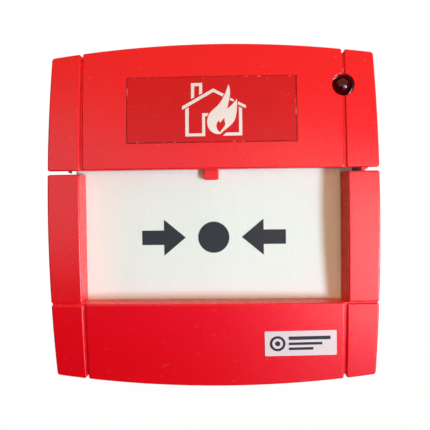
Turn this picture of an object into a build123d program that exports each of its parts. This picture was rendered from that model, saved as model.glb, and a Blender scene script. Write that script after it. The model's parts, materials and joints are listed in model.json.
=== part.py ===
from build123d import *
import os
from math import cos, radians, sin

# Manual call point, indoor type: front unit with its inner frame.
# Frame: +X right, +Z up, the front faces -Y. The origin is the centre of the
# inner frame's rear face, which lies on the wall plane Y = 0. Sizes in mm.
# "out" is the distance out from the wall, so Y = -out; "rear" and "front" are
# such distances too. Left, right, bottom and top are X and Z.

# ------------------------------------------------------- cover outline and front
COVER_HALF_W = 44.5       # half width at mid height
COVER_HALF_H = 46.5       # half height at the middle
CORNER_X_TOP = 43.5       # corner positions: the four edges are shallow arcs
CORNER_Z_TOP = 43.5
CORNER_X_BOT = 43.7
CORNER_Z_BOT = -43.5
COVER_DEPTH = 27.5        # wall to the outermost point of the front
FRONT_RADIUS_V = 220.0    # curve of the front, seen from the side
FRONT_RADIUS_H = 780.0    # much flatter curve, seen from above
FRONT_AXIS_Y = FRONT_RADIUS_H - COVER_DEPTH   # upright axis of the flat curve
WALL = 2.2                # moulded wall thickness
BEYOND = 60.0             # past every side of the cover
THROUGH = 40.0            # past the front of the cover

# ------------------------------------------------- grooves, pads, slots, window
GROOVE_DEPTH = 0.9
LEFT_GROOVE_OUTER, LEFT_GROOVE_INNER = -35.5, -34.95
RIGHT_GROOVE_INNER, RIGHT_GROOVE_OUTER = 35.05, 35.7
LOW_GROOVE_TOP = -23.25
LOW_GROOVE_BOTTOM = -23.65
LOW_GROOVE_DEPTH = 0.5    # these two side grooves are shallower
EDGE_R = 0.4              # rounding of every pad edge on the front
PAD_CORNER_R = 0.6        # corners of the pads where grooves and slots meet
CORNER_R = 0.9            # outer corners of the cover
CORNER_ZONE = 43.3        # a vertex past this in X and Z is an outer corner

BAR_LEFT = -35.65         # inner edges of the bars beside the window
BAR_RIGHT = 36.1
WINDOW_TOP = 12.65
WINDOW_BOTTOM = -23.4
WINDOW_REAR_LEFT = -35.2  # the window walls draw in a little
WINDOW_REAR_RIGHT = 34.75
WINDOW_REAR_BOTTOM = WINDOW_BOTTOM + 0.4
TUNNEL_REAR = 20.0        # rear rim of the window walls
TUNNEL_FRONT = 25.0       # the drawn-in part of the window ends here
SLOT_BOTTOM = 11.7        # upper side slots
SLOT_START = 24.0         # out position where the slots start to widen
SLOT_RISE = 1.1           # widening from there to the wall plane

# --------------------------------------------------- places shared by the pieces
LABEL_HALF_W = 22.85
LABEL_TOP = 37.55
LABEL_BOTTOM = 19.7
LABEL_DEPTH = 0.35
SKIN_START = 15.0         # rear of sketches cut to thin layers on the front
SKIN_REACH = 20.0

LED_X = 35.25
LED_Z = 34.75
LED_HOLE_R = 2.92

HINGE_OUT = 2.4           # cover hook axis
HINGE_Z = 41.0
HOOK_R = 2.15
HOOK_PIN_R = 1.1
HOOK_BORE_R = 1.16

PIVOT_OUT = 18.5          # axis of the operating element
PIVOT_Z = -25.2
PIVOT_R = 0.98
PIVOT_BORE_R = 1.04

ELEMENT_SPRING_X = 14.0   # one spring each side of the middle
ELEMENT_SPRING_Z = -17.0
SWITCH_X = 8.0

SLIDE_REAR, SLIDE_FRONT = 8.0, 12.0
SLIDE_OUT = (SLIDE_REAR + SLIDE_FRONT) / 2
LATCH_X = -14.0
GUIDE_BOTTOM = -38.0      # lower end of both slide guides

BOARD_REAR = 5.0
BOARD_FRONT = 6.6
BOARD_SCREWS = [(-22.5, -10.5), (-22.5, 34.0), (29.5, 33.8), (22.5, -15.5)]  # (x, z)
LED_LEAD_X = (LED_X - 1.27, LED_X + 1.27)
SWITCH_PIN_Z = (-8.6, -3.6, 1.2)
RESISTOR_Z = (22.0, 27.0)
RESISTOR_LEAD_X = (-18.0, -8.0)
RESISTOR_OUT = 8.1
DIODE_X = 2.0
DIODE_OUT = 8.0
DIODE_LEAD_Z = (22.0, 31.0)
TERMINAL_X = [12.0 + 5.5 * i for i in range(4)]
TERMINAL_Z = -31.0

os.makedirs("parts", exist_ok=True)


# ------------------------------------------------------------ small helpers
def block(left, right, rear, front, bottom, top, mode=Mode.ADD):
    with Locations(((left + right) / 2, -(rear + front) / 2, (bottom + top) / 2)):
        Box(right - left, front - rear, top - bottom, mode=mode)


def block_at(x, half_width, rear, front, bottom, top, mode=Mode.ADD):
    """A block given by its middle in X."""
    block(x - half_width, x + half_width, rear, front, bottom, top, mode)


def rod_y(x, z, radius, rear, front, mode=Mode.ADD):
    with Locations(Location((x, -(rear + front) / 2, z), (90, 0, 0))):
        Cylinder(radius, front - rear, mode=mode)


def rod_x(left, right, out, z, radius, mode=Mode.ADD):
    with Locations(Location(((left + right) / 2, -out, z), (0, 90, 0))):
        Cylinder(radius, right - left, mode=mode)


def rod_z(x, out, bottom, top, radius, mode=Mode.ADD):
    with Locations(Location((x, -out, (bottom + top) / 2))):
        Cylinder(radius, top - bottom, mode=mode)


def both_sides(inner, outer):
    """The X spans (left, right) of a mirrored pair, left one first."""
    return (-outer, -inner), (inner, outer)


def front_rim(builder):
    """Edges of the builder's foremost face."""
    return builder.faces().sort_by(Axis.Y)[0].edges()


def save(builder, name):
    builder.part.label = name
    export_step(builder.part, f"parts/{name}.step")


def coil(start, direction, radius, wire_radius, length, turns):
    """A round-wire compression spring from start along direction."""
    with BuildPart() as spring:
        with BuildLine() as path:
            Helix(length / turns, length, radius, center=start, direction=direction)
        with BuildSketch(Plane(origin=path.line @ 0, z_dir=path.line % 0)):
            Circle(wire_radius)
        sweep(is_frenet=True)
    return spring.part


# ------------------------------------------------------ the cover's surfaces
def outline_lines(inset):
    """The cover's outline, four shallow arcs, moved inwards by inset."""
    top_left = (-CORNER_X_TOP + inset, CORNER_Z_TOP - inset)
    top_right = (CORNER_X_TOP - inset, CORNER_Z_TOP - inset)
    bottom_right = (CORNER_X_BOT - inset, CORNER_Z_BOT + inset)
    bottom_left = (-CORNER_X_BOT + inset, CORNER_Z_BOT + inset)
    ThreePointArc(top_left, (0, COVER_HALF_H - inset), top_right)
    ThreePointArc(top_right, (COVER_HALF_W - inset, 0), bottom_right)
    ThreePointArc(bottom_right, (0, -COVER_HALF_H + inset), bottom_left)
    ThreePointArc(bottom_left, (-COVER_HALF_W + inset, 0), top_left)


def under_front(inset):
    """Everything behind the doubly curved front, with the front moved back by
    inset. It is a slice of a body of revolution about an upright axis."""
    half_angle = 5.0
    half_height = 62.0
    inner_radius = 730
    start = radians(-half_angle)
    plane = Plane(
        origin=(0, FRONT_AXIS_Y, 0),
        x_dir=(sin(start), -cos(start), 0),
        z_dir=(-cos(start), -sin(start), 0),
    )
    middle = FRONT_RADIUS_H - inset
    end = middle - half_height ** 2 / (2 * FRONT_RADIUS_V)
    with BuildPart() as body:
        with BuildSketch(plane):
            with BuildLine():
                ThreePointArc((end, -half_height), (middle, 0), (end, half_height))
                Polyline(
                    (end, half_height), (inner_radius, half_height),
                    (inner_radius, -half_height), (end, -half_height),
                )
            make_face()
        revolve(axis=Axis((0, FRONT_AXIS_Y, 0), (0, 0, 1)), revolution_arc=2 * half_angle)
    return body.part


FRONT = under_front(0.0)
FRONT_LABEL = under_front(LABEL_DEPTH)        # floor of the label recess
FRONT_LABEL_TOP = under_front(0.08)
FRONT_PRINT = under_front(0.03)
FRONT_STICKER = under_front(-0.12)
FRONT_STICKER_PRINT = under_front(-0.17)


def cover_body(inset, front, rear=0):
    """The cover's outline, moved in by inset, filled up to the given front."""
    with BuildPart() as body:
        with BuildSketch(Plane.XZ.offset(rear)):
            with BuildLine():
                outline_lines(inset)
            make_face()
        extrude(amount=THROUGH)
        add(front, mode=Mode.INTERSECT)
    return body.part


def pad(left, right, bottom, top):
    """One raised field of the cover: full depth, all front edges rounded."""
    with BuildPart() as field:
        with BuildSketch(Plane.XZ) as face:
            with BuildLine():
                outline_lines(0)
            make_face()
            with Locations(((left + right) / 2, (bottom + top) / 2)):
                Rectangle(right - left, top - bottom, mode=Mode.INTERSECT)
            corners = face.vertices()
            outer = [v for v in corners if abs(v.X) > CORNER_ZONE and abs(v.Y) > CORNER_ZONE]
            inner = [v for v in corners if abs(v.X) <= CORNER_ZONE or abs(v.Y) <= CORNER_ZONE]
            if outer:
                fillet(outer, CORNER_R)
                # find the inner corners again in the changed sketch
                inner = [
                    v for v in face.vertices() if min(
                        (Vector(v.X, v.Y) - Vector(w.X, w.Y)).length for w in inner
                    ) < 0.01
                ]
            fillet(inner, PAD_CORNER_R)
        extrude(amount=THROUGH)
        add(FRONT, mode=Mode.INTERSECT)
        fillet(front_rim(field), EDGE_R)
    return field.part


# left, right, bottom, top
PADS = [
    (LEFT_GROOVE_INNER, RIGHT_GROOVE_INNER, WINDOW_TOP, BEYOND),
    (RIGHT_GROOVE_OUTER, BEYOND, WINDOW_TOP, BEYOND),
    (-BEYOND, LEFT_GROOVE_OUTER, WINDOW_TOP, BEYOND),
    (BAR_RIGHT, BEYOND, LOW_GROOVE_TOP, SLOT_BOTTOM),
    (-BEYOND, BAR_LEFT, LOW_GROOVE_TOP, SLOT_BOTTOM),
    (RIGHT_GROOVE_OUTER, BEYOND, -BEYOND, LOW_GROOVE_BOTTOM),
    (-BEYOND, LEFT_GROOVE_OUTER, -BEYOND, LOW_GROOVE_BOTTOM),
    (LEFT_GROOVE_INNER, RIGHT_GROOVE_INNER, -BEYOND, WINDOW_BOTTOM),
]

# left, right, rear end of each slot cut; the outermost strip of the cover
# keeps a bridge behind the slot
SLOT_CUTS = [(-50, -34, 2.2), (-43.7, -34, -1.0), (34, 50, 7.0), (34, 42.3, -1.0)]


def low_groove_floor():
    """Floor of the two low side grooves."""
    middle = (0, (LOW_GROOVE_TOP + LOW_GROOVE_BOTTOM) / 2)
    with BuildPart() as strip:
        with BuildSketch(Plane.XZ):
            with BuildLine():
                outline_lines(0.3)
            make_face()
            with Locations(middle):
                Rectangle(100, 1.6, mode=Mode.INTERSECT)
            with Locations(middle):
                Rectangle(71.6, 3.0, mode=Mode.SUBTRACT)
        extrude(amount=THROUGH)
        add(under_front(LOW_GROOVE_DEPTH), mode=Mode.INTERSECT)
    return strip.part


def hanging_tab():
    """Tab that hangs in front of the element's top edge."""
    with BuildPart() as tab:
        block(-2.33, 1.62, TUNNEL_REAR + 0.15, TUNNEL_REAR + 1.5, 9.85, WINDOW_TOP + 0.5)
        fillet(tab.edges().filter_by(Axis.Y).group_by(Axis.Z)[0], 0.4)
        fillet(front_rim(tab).group_by(Axis.Z)[0], 0.25)
    return tab.part


def label_cutter():
    with BuildPart() as cutter:
        block_at(0, LABEL_HALF_W, SKIN_START, THROUGH, LABEL_BOTTOM, LABEL_TOP)
        add(FRONT_LABEL, mode=Mode.SUBTRACT)
    return cutter.part


def lower_ribs():
    """Stiffening ribs inside the lower field."""
    with BuildPart() as ribs:
        for x in (-34.5, 34.5):
            block_at(x, 0.6, 17.0, 30.0, -43.6, -28.5)
        add(under_front(WALL - 0.3), mode=Mode.INTERSECT)
    return ribs.part


# ------------------------------------------------------------- front cover
with BuildPart() as front_cover:
    # core under the grooves, then the raised pads
    add(cover_body(GROOVE_DEPTH, under_front(GROOVE_DEPTH)))
    for bounds in PADS:
        add(pad(*bounds))
    add(low_groove_floor())
    # hollow rear, leaving an even wall
    add(cover_body(WALL, under_front(WALL), rear=-1), mode=Mode.SUBTRACT)
    # window walls reaching back to just in front of the element
    block(-37.4, 37.4, TUNNEL_REAR, TUNNEL_FRONT, -25.2, WINDOW_TOP + 1.55)
    # opening: straight at the front, drawn in a little towards the rear
    block(
        BAR_LEFT, BAR_RIGHT, TUNNEL_FRONT - 0.01, 30,
        WINDOW_BOTTOM, WINDOW_TOP, Mode.SUBTRACT,
    )
    for left, right, bottom, out in (
        (WINDOW_REAR_LEFT, WINDOW_REAR_RIGHT, WINDOW_REAR_BOTTOM, TUNNEL_REAR - 0.5),
        (BAR_LEFT, BAR_RIGHT, WINDOW_BOTTOM, TUNNEL_FRONT),
    ):
        with BuildSketch(Plane.XZ.offset(out)):
            with Locations(((left + right) / 2, (bottom + WINDOW_TOP) / 2)):
                Rectangle(right - left, WINDOW_TOP - bottom)
    loft(mode=Mode.SUBTRACT)
    # upper side slots: they widen upwards to the rear
    for left, right, rear in SLOT_CUTS:
        rear_top = WINDOW_TOP + SLOT_RISE * (SLOT_START - rear) / SLOT_START
        with BuildSketch(Plane.YZ.offset(left)):
            with BuildLine():
                Polyline(
                    (-30, SLOT_BOTTOM), (-30, WINDOW_TOP), (-SLOT_START, WINDOW_TOP),
                    (-rear, rear_top), (-rear, SLOT_BOTTOM),
                    close=True,
                )
            make_face()
        extrude(amount=right - left, mode=Mode.SUBTRACT)
    add(hanging_tab())
    # indicator hole with its collar and a small lead-in square to the front
    rod_y(LED_X, LED_Z, 4.6, 19.6, 22.5)
    rod_y(LED_X, LED_Z, LED_HOLE_R, 10, 30, Mode.SUBTRACT)
    led_surface_out = (
        COVER_DEPTH - LED_Z ** 2 / (2 * FRONT_RADIUS_V) - LED_X ** 2 / (2 * FRONT_RADIUS_H)
    )
    with Locations(
        Plane(
            origin=(LED_X, -led_surface_out, LED_Z),
            x_dir=(1, 0.045, 0),
            z_dir=(0.045, -1, 0.158),
        )
    ):
        Cone(LED_HOLE_R - 0.05, LED_HOLE_R + 0.45, 0.5, mode=Mode.SUBTRACT)
    add(label_cutter(), mode=Mode.SUBTRACT)
    # the rear edge is set back along the top so that the cover can swing
    block(-BEYOND, BEYOND, -2, 3.0, 40.5, BEYOND, Mode.SUBTRACT)
    # openings in the underside for the test key, at the slide and at the latch
    block_at(0, 4.2, SLIDE_REAR - 0.4, SLIDE_FRONT + 0.4, -BEYOND, -43.0, Mode.SUBTRACT)
    block_at(LATCH_X, 3.4, 6.4, 9.4, -BEYOND, -43.0, Mode.SUBTRACT)
    # catch rib for the latch
    block_at(LATCH_X, 2.6, 3.8, 5.6, -45.2, -43.4)
    # hooks for the frame's hinge pins, open downwards
    for hook in both_sides(14.3, 19.7):
        block(*hook, 3.0, 6.4, HINGE_Z - 0.4, 44.6)
        rod_x(*hook, HINGE_OUT, HINGE_Z, HOOK_R)
        block(*hook, HINGE_OUT, 3.4, HINGE_Z, HINGE_Z + HOOK_R)
        rod_x(*hook, HINGE_OUT, HINGE_Z, HOOK_BORE_R, Mode.SUBTRACT)
        block(
            *hook, HINGE_OUT - 0.85, HINGE_OUT + 0.85, HINGE_Z - 4, HINGE_Z, Mode.SUBTRACT
        )
    add(lower_ribs())
save(front_cover, "front_cover")

# ------------------------------------------------------------ symbol label
with BuildPart() as symbol_label:
    block_at(
        0, LABEL_HALF_W - 0.14, SKIN_START, THROUGH, LABEL_BOTTOM + 0.14, LABEL_TOP - 0.12
    )
    add(FRONT_LABEL_TOP, mode=Mode.INTERSECT)
    add(FRONT_LABEL, mode=Mode.SUBTRACT)
save(symbol_label, "symbol_label")

# Printed house, closed outlines of (x, z)
HOUSE = [
    # chimney
    [(-5.36, 35.78), (-2.36, 35.78), (-2.36, 33.0), (-3.2, 32.5),
     (-3.2, 34.93), (-4.5, 34.93), (-4.5, 31.9), (-5.36, 31.45)],
    # roof, left slope and the start of the right slope
    [(0.57, 34.2), (3.45, 32.65), (3.07, 31.95), (0.57, 33.25), (-7.7, 28.55), (-7.85, 29.45)],
    # roof, piece right of the flame's tip
    [(5.2, 31.62), (6.14, 31.08), (5.88, 30.52), (5.0, 31.0)],
    # roof, right end
    [(7.22, 30.55), (9.33, 29.5), (9.25, 28.7), (7.12, 29.75)],
    # left wall, floor and door
    [(-6.92, 28.7), (-6.92, 21.4), (-1.62, 21.4), (-1.62, 26.75), (-1.05, 26.75),
     (-0.72, 27.55), (-2.42, 27.55), (-2.42, 22.18), (-5.98, 22.18), (-5.98, 29.2)],
    # floor and wall on the right
    [(3.08, 21.45), (8.26, 21.45), (8.26, 28.75), (7.4, 29.15), (7.4, 22.28), (4.0, 22.28)],
]
# Flame and the hole in it: smooth curves of (x, z), joined end to end
FLAME = [
    [(4.66, 35.3), (5.07, 33.1), (4.92, 31.5), (4.25, 28.6)],
    [(4.25, 28.6), (5.6, 29.75), (6.95, 31.35)],
    [(6.95, 31.35), (6.92, 29.6), (6.64, 26.9), (5.95, 25.1), (4.6, 23.75), (2.5, 21.95)],
    [(2.5, 21.95), (0.7, 22.2), (-0.45, 23.15), (-1.03, 24.7), (-1.0, 25.95), (-0.5, 27.3),
     (0.45, 28.4), (1.8, 29.6), (2.9, 31.1), (3.8, 32.85), (4.66, 35.3)],
]
FLAME_HOLE = [
    [(2.4, 22.35), (1.62, 23.2), (1.4, 24.1), (1.55, 24.9), (2.1, 25.55)],
    [(2.1, 25.55), (2.2, 25.2), (2.5, 24.95)],
    [(2.5, 24.95), (2.95, 25.65), (3.68, 26.25)],
    [(3.68, 26.25), (3.6, 25.3), (3.72, 24.5), (3.25, 23.6), (2.4, 22.35)],
]

with BuildPart() as house_flame_symbol:
    with BuildSketch(Plane.XZ.offset(SKIN_START)):
        for outline in HOUSE:
            with BuildLine():
                Polyline(*outline, close=True)
            make_face()
        for curves, mode in ((FLAME, Mode.ADD), (FLAME_HOLE, Mode.SUBTRACT)):
            with BuildLine():
                for curve in curves:
                    Spline(*curve)
            make_face(mode=mode)
    extrude(amount=SKIN_REACH)
    add(FRONT_PRINT, mode=Mode.INTERSECT)
    add(FRONT_LABEL_TOP, mode=Mode.SUBTRACT)
save(house_flame_symbol, "house_flame_symbol")

# ------------------------------------------------------------- maker label
STICKER_PLACE = Location((23.3, -34.45, 0), (0, 0, 0.8))   # turned by 0.8 degrees
STICKER_BARS = [  # x, z, width, height
    (2.4, 1.45, 11.2, 0.95),
    (1.3, -0.1, 9.0, 0.7),
    (0.1, -1.5, 6.6, 0.7),
]

with BuildPart() as maker_label:
    with BuildSketch(Plane.XZ.offset(SKIN_START)):
        with Locations(STICKER_PLACE):
            RectangleRounded(19.3, 6.9, 0.25)
    extrude(amount=SKIN_REACH)
    add(FRONT_STICKER, mode=Mode.INTERSECT)
    add(FRONT, mode=Mode.SUBTRACT)
save(maker_label, "maker_label")

# neutral mark: a ring with a dot and three plain bars
with BuildPart() as maker_label_mark:
    with BuildSketch(Plane.XZ.offset(SKIN_START)):
        with Locations(STICKER_PLACE):
            with Locations((-6.2, 0)):
                Circle(2.1)
                Circle(1.45, mode=Mode.SUBTRACT)
                Circle(0.7)
            for x, z, width, height in STICKER_BARS:
                with Locations((x, z)):
                    Rectangle(width, height)
    extrude(amount=SKIN_REACH)
    add(FRONT_STICKER_PRINT, mode=Mode.INTERSECT)
    add(FRONT_STICKER, mode=Mode.SUBTRACT)
save(maker_label_mark, "maker_label_mark")

# --------------------------------------------------------- indicator lens
LENS_REAR = 17.6
LENS_FLANGE_FRONT = 18.6
LENS_FLANGE_R = 2.85
LENS_R = 2.75
DOME_OUT = 20.9           # centre of the domed end

with BuildPart() as indicator_lens:
    with BuildSketch(Plane.XY.offset(LED_Z)):
        with BuildLine():
            Polyline(
                (LED_X, -LENS_REAR),
                (LED_X + LENS_FLANGE_R, -LENS_REAR),
                (LED_X + LENS_FLANGE_R, -LENS_FLANGE_FRONT),
                (LED_X + LENS_R, -LENS_FLANGE_FRONT),
                (LED_X + LENS_R, -DOME_OUT),
            )
            ThreePointArc(
                (LED_X + LENS_R, -DOME_OUT),
                (LED_X + LENS_R * cos(radians(45)), -DOME_OUT - LENS_R * sin(radians(45))),
                (LED_X, -DOME_OUT - LENS_R),
            )
            Line((LED_X, -DOME_OUT - LENS_R), (LED_X, -LENS_REAR))
        make_face()
    revolve(axis=Axis((LED_X, 0, LED_Z), (0, 1, 0)))
save(indicator_lens, "indicator_lens")

# ------------------------------------------------------ operating element
PLATE_HALF_W = 38.0
PLATE_REAR = 17.5
PLATE_FRONT = 19.5
PLATE_TOP = 14.2
PLATE_BOTTOM = -25.9
PLATE_RIB_REAR = PLATE_REAR - 1.2
PLATE_RIB_X = 34.0
PLATE_RIB_Z = (-20.5, 11.5)
BOSS_Z = -8.0             # boss that presses the switch lever
BOSS_R = 1.4
BOSS_TIP = 16.56

with BuildPart() as operating_element:
    with BuildSketch(Plane.XZ.offset(PLATE_REAR)):
        with Locations((0, (PLATE_TOP + PLATE_BOTTOM) / 2)):
            RectangleRounded(2 * PLATE_HALF_W, PLATE_TOP - PLATE_BOTTOM, 0.8)
    extrude(amount=PLATE_FRONT - PLATE_REAR)
    fillet(front_rim(operating_element), 0.3)
    # stiffening ribs on the rear
    for z in PLATE_RIB_Z:
        block_at(0, PLATE_RIB_X, PLATE_RIB_REAR, PLATE_REAR, z - 0.5, z + 0.5)
    for x in (-PLATE_RIB_X, PLATE_RIB_X):
        block_at(x, 0.5, PLATE_RIB_REAR, PLATE_REAR, *PLATE_RIB_Z)
    # pips that locate the return springs
    for x in (-ELEMENT_SPRING_X, ELEMENT_SPRING_X):
        rod_y(x, ELEMENT_SPRING_Z, 1.2, PLATE_REAR - 1.4, PLATE_REAR)
    # relief in front of the switch's hinge ears
    block_at(SWITCH_X, 3.6, PLATE_REAR - 0.01, PLATE_REAR + 0.45, -0.8, 3.3, Mode.SUBTRACT)
    rod_y(SWITCH_X, BOSS_Z, BOSS_R, BOSS_TIP, PLATE_REAR)
    boss_tip_edges = [
        e
        for e in operating_element.edges().filter_by(GeomType.CIRCLE)
        if abs(e.center().Y + BOSS_TIP) < 0.01 and abs(e.radius - BOSS_R) < 0.01
    ]
    fillet(boss_tip_edges, 0.9)
    # pivot pins and the thicker roots that carry them
    for root, pin in zip(both_sides(36.2, 38.0), both_sides(37.6, 40.2)):
        rod_x(*root, PIVOT_OUT, PIVOT_Z, 1.0)
        rod_x(*pin, PIVOT_OUT, PIVOT_Z, PIVOT_R)
save(operating_element, "operating_element")

SYMBOL_Z = -5.95
# Right-hand arrow, pointing to the middle: x, z from SYMBOL_Z
ARROW = [
    (19.85, 2.0), (13.75, 2.0), (13.75, 5.0), (7.75, 0.0),
    (13.75, -5.0), (13.75, -2.0), (19.85, -2.0),
]

with BuildPart() as element_symbols:
    with BuildSketch(Plane.XZ.offset(PLATE_FRONT)):
        with Locations((0, SYMBOL_Z)):
            Circle(4.3)
        for side in (-1, 1):
            with BuildLine():
                Polyline(*[(side * x, SYMBOL_Z + z) for x, z in ARROW], close=True)
            make_face()
    extrude(amount=0.05)
save(element_symbols, "element_symbols")

# ------------------------------------------------------------- alarm flag
FLAG_BOTTOM, FLAG_TOP = 15.6, 24.0
FLAG_REAR = 18.95

with BuildPart() as alarm_flag:
    with BuildSketch(Plane.XZ.offset(FLAG_REAR)):
        with Locations((0, (FLAG_BOTTOM + FLAG_TOP) / 2)):
            RectangleRounded(56.0, FLAG_TOP - FLAG_BOTTOM, 0.6)
    extrude(amount=0.8)
    # lugs near the ends and a rib in the middle, all on the rear
    for lug in both_sides(22.0, 24.0):
        block(*lug, 17.9, FLAG_REAR, 22.6, FLAG_TOP - 0.3)
    block_at(0, 10.0, 18.25, FLAG_REAR, FLAG_TOP - 1.4, FLAG_TOP - 0.4)
save(alarm_flag, "alarm_flag")

# ---------------------------------------------------------------- chassis
CHASSIS_W, CHASSIS_H = 77.2, 77.5
CHASSIS_Z = -0.25         # middle of the base plate
CHASSIS_CORNER_R = 3.0
BASE_T = 2.5
RIM_T = 1.7
RIM_HEIGHT = 9.0
FIXING_SPACING = 60.3     # wall box screw centres
FIXING_HOLE_R = 2.1
SLIDE_GUIDE_FRONT = 13.4
LATCH_GUIDE_FRONT = 10.6


def slide_guide():
    """Guide of the test slide: cheeks, front keeper, floor, spring stop, channel."""
    for cheek in both_sides(3.75, 5.4):
        block(*cheek, 0.0, SLIDE_GUIDE_FRONT, GUIDE_BOTTOM, -18.5)
    block_at(0, 5.4, SLIDE_FRONT + 0.2, SLIDE_GUIDE_FRONT, GUIDE_BOTTOM, -30.5)
    block_at(0, 5.4, 0.0, SLIDE_REAR - 0.2, GUIDE_BOTTOM, -19.0)
    block_at(0, 5.4, 0.0, SLIDE_GUIDE_FRONT, -20.0, -18.5)
    block_at(0, 3.7, SLIDE_REAR - 0.2, SLIDE_FRONT + 0.2, -45.0, -30.0, Mode.SUBTRACT)


def latch_guide():
    """Guide of the cover latch, made up like the slide guide."""
    for left, right in both_sides(3.55, 5.2):
        block(LATCH_X + left, LATCH_X + right, 0.0, LATCH_GUIDE_FRONT, GUIDE_BOTTOM, -22.5)
    block_at(LATCH_X, 5.2, 9.2, LATCH_GUIDE_FRONT, GUIDE_BOTTOM, -31.5)
    block_at(LATCH_X, 5.2, 0.0, 4.8, GUIDE_BOTTOM, -23.5)
    block_at(LATCH_X, 5.2, 0.0, LATCH_GUIDE_FRONT, -24.5, -22.5)
    block_at(LATCH_X, 3.5, 4.8, 9.2, -45.0, -31.0, Mode.SUBTRACT)


with BuildPart() as chassis:
    # base plate with rounded corners
    with BuildSketch(Plane.XZ):
        with Locations((0, CHASSIS_Z)):
            RectangleRounded(CHASSIS_W, CHASSIS_H, CHASSIS_CORNER_R)
    extrude(amount=BASE_T)
    # low wall around the plate
    with BuildSketch(Plane.XZ.offset(BASE_T)):
        with Locations((0, CHASSIS_Z)):
            RectangleRounded(CHASSIS_W, CHASSIS_H, CHASSIS_CORNER_R)
            RectangleRounded(
                CHASSIS_W - 2 * RIM_T, CHASSIS_H - 2 * RIM_T, 1.6, mode=Mode.SUBTRACT
            )
    extrude(amount=RIM_HEIGHT)
    # cable opening
    with BuildSketch(Plane.XZ):
        with Locations((-3.0, 4.0)):
            RectangleRounded(38.0, 28.0, 3.0)
    extrude(amount=BASE_T, mode=Mode.SUBTRACT)
    # fixing holes with their raised seats
    for x in (-FIXING_SPACING / 2, FIXING_SPACING / 2):
        rod_y(x, 0, 4.6, BASE_T, BASE_T + 1.0)
        rod_y(x, 0, FIXING_HOLE_R, -1, 6, Mode.SUBTRACT)
    # the wall is open beside the indicator
    block(31.5, 40.0, BASE_T, 20, 29.5, 40.0, Mode.SUBTRACT)
    # element pivot lugs, their bores open to the front
    for lug in both_sides(38.3, 40.4):
        block(*lug, 0.0, 19.4, -27.9, -22.5)
        rod_x(*lug, PIVOT_OUT, PIVOT_Z, PIVOT_BORE_R, Mode.SUBTRACT)
        block(*lug, PIVOT_OUT, 22, PIVOT_Z - 0.8, PIVOT_Z + 0.8, Mode.SUBTRACT)
    # flag guide posts with their grooves
    for post, groove in zip(both_sides(26.5, 30.2), both_sides(20.0, 28.15)):
        block(*post, 0.0, 20.4, 15.0, 26.5)
        block(*groove, 18.8, 19.9, 14.0, 27.5, Mode.SUBTRACT)
    # bosses for the circuit board
    for x, z in BOARD_SCREWS:
        rod_y(x, z, 2.6, 0.0, BOARD_REAR)
        rod_y(x, z, 1.15, 1.2, 8.0, Mode.SUBTRACT)
    # seat and pip for the left element spring
    rod_y(-ELEMENT_SPRING_X, ELEMENT_SPRING_Z, 3.0, 0.0, 7.0)
    rod_y(-ELEMENT_SPRING_X, ELEMENT_SPRING_Z, 1.2, 7.0, 8.4)
    # hinge ears and pins for the cover hooks, with room for the hooks between
    for inner_ear, outer_ear, pin, gap in zip(
        both_sides(12.0, 13.9), both_sides(20.1, 22.0),
        both_sides(13.0, 21.0), both_sides(14.0, 20.0),
    ):
        for ear in (inner_ear, outer_ear):
            block(*ear, 0.6, 4.2, 36.8, HINGE_Z)
            rod_x(*ear, HINGE_OUT, HINGE_Z, 1.8)
        rod_x(*pin, HINGE_OUT, HINGE_Z, HOOK_PIN_R)
        block(*gap, -1, 14, 37.9, 40, Mode.SUBTRACT)
    slide_guide()
    latch_guide()
    # rib beside the right slot that locates the cover
    block(38.0, 41.8, 0.6, 7.0, 7.0, 17.0)
save(chassis, "chassis")

# ---------------------------------------------------------------- springs
with BuildPart() as element_springs:
    for x in (-ELEMENT_SPRING_X, ELEMENT_SPRING_X):
        add(coil((x, -7.35, ELEMENT_SPRING_Z), (0, -1, 0), 1.9, 0.3, length=9.75, turns=7))
save(element_springs, "element_springs")

with BuildPart() as test_slide_spring:
    add(coil((0, -SLIDE_OUT, -28.6), (0, 0, 1), 1.25, 0.25, length=8.3, turns=8))
save(test_slide_spring, "test_slide_spring")

with BuildPart() as cover_latch_spring:
    add(coil((LATCH_X, -7.0, -31.6), (0, 0, 1), 1.25, 0.25, length=6.8, turns=7))
save(cover_latch_spring, "cover_latch_spring")

# ----------------------------------------------- test slide, cover latch
SLIDE_BOTTOM = -40.6
SLIDE_SHOULDER = -31.0    # the narrower upper end starts here
LATCH_SHOULDER = -40.2    # the narrower tip hangs below this
LATCH_BODY_TOP = -32.6

with BuildPart() as test_slide:
    block_at(0, 3.6, SLIDE_REAR - 0.1, SLIDE_FRONT + 0.1, SLIDE_BOTTOM, SLIDE_SHOULDER)
    block_at(0, 2.2, SLIDE_REAR + 0.4, SLIDE_FRONT - 0.4, SLIDE_SHOULDER, -29.0)
    # slot in the lower end
    with BuildSketch(Plane.XY.offset(SLIDE_BOTTOM)):
        with Locations((0, -SLIDE_OUT)):
            Rectangle(5.0, 1.4)
    extrude(amount=1.6, mode=Mode.SUBTRACT)
    chamfer(test_slide.edges().filter_by(Axis.Y).group_by(Axis.Z)[-1], 0.5)
save(test_slide, "test_slide")

with BuildPart() as cover_latch:
    block_at(LATCH_X, 3.4, 4.9, 9.1, LATCH_SHOULDER, LATCH_BODY_TOP)
    block_at(LATCH_X, 2.4, 5.9, 8.9, -42.9, LATCH_SHOULDER)
    block_at(LATCH_X, 2.0, 5.6, 8.4, LATCH_BODY_TOP, -32.0)
    chamfer(cover_latch.edges().filter_by(Axis.X).group_by(Axis.Z)[0], 0.7)
save(cover_latch, "cover_latch")

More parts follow.
